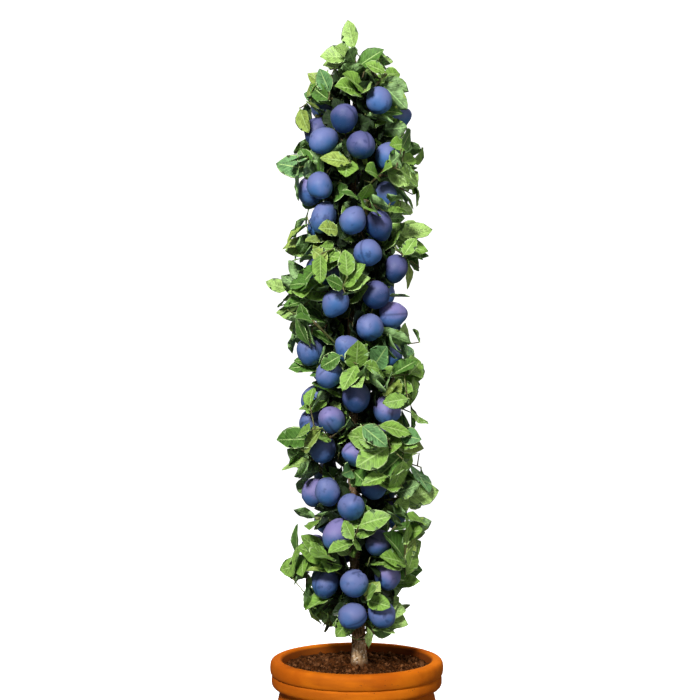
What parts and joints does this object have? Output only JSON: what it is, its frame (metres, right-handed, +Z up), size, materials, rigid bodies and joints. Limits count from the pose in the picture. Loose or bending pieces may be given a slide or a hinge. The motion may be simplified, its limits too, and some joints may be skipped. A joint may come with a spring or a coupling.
{
  "type": "potted columnar plum tree",
  "caption": "Narrow upright plum tree in fruit, standing in a round clay pot of soil, with a straight trunk and short leafy fruit sprays all round it.",
  "frame": {"origin": "middle of the pot's flat underside", "axes": "+Z up along the trunk, -Y towards the side that the picture shows, +X to its right"},
  "size_m": [0.3065, 0.3, 1.368],
  "materials": {
    "terracotta": "matte",
    "potting_soil": "rough",
    "bark": "rough",
    "foliage": "satin"
  },
  "bodies": {
    "root": {"pot": "terracotta", "soil": "potting_soil", "trunk": "bark", "spray_01": "foliage", "spray_02": "foliage", "spray_03": "foliage", "spray_04": "foliage", "spray_05": "foliage", "spray_06": "foliage", "spray_07": "foliage", "spray_08": "foliage", "spray_09": "foliage", "spray_10": "foliage", "spray_11": "foliage", "spray_12": "foliage", "spray_13": "foliage", "spray_14": "foliage", "spray_15": "foliage", "spray_16": "foliage", "spray_17": "foliage", "spray_18": "foliage", "spray_19": "foliage", "spray_20": "foliage", "spray_21": "foliage", "spray_22": "foliage", "spray_23": "foliage", "spray_24": "foliage", "spray_25": "foliage", "spray_26": "foliage", "spray_27": "foliage", "spray_28": "foliage", "spray_29": "foliage", "spray_30": "foliage", "top_tuft": "foliage"}
  },
  "joints": []
}
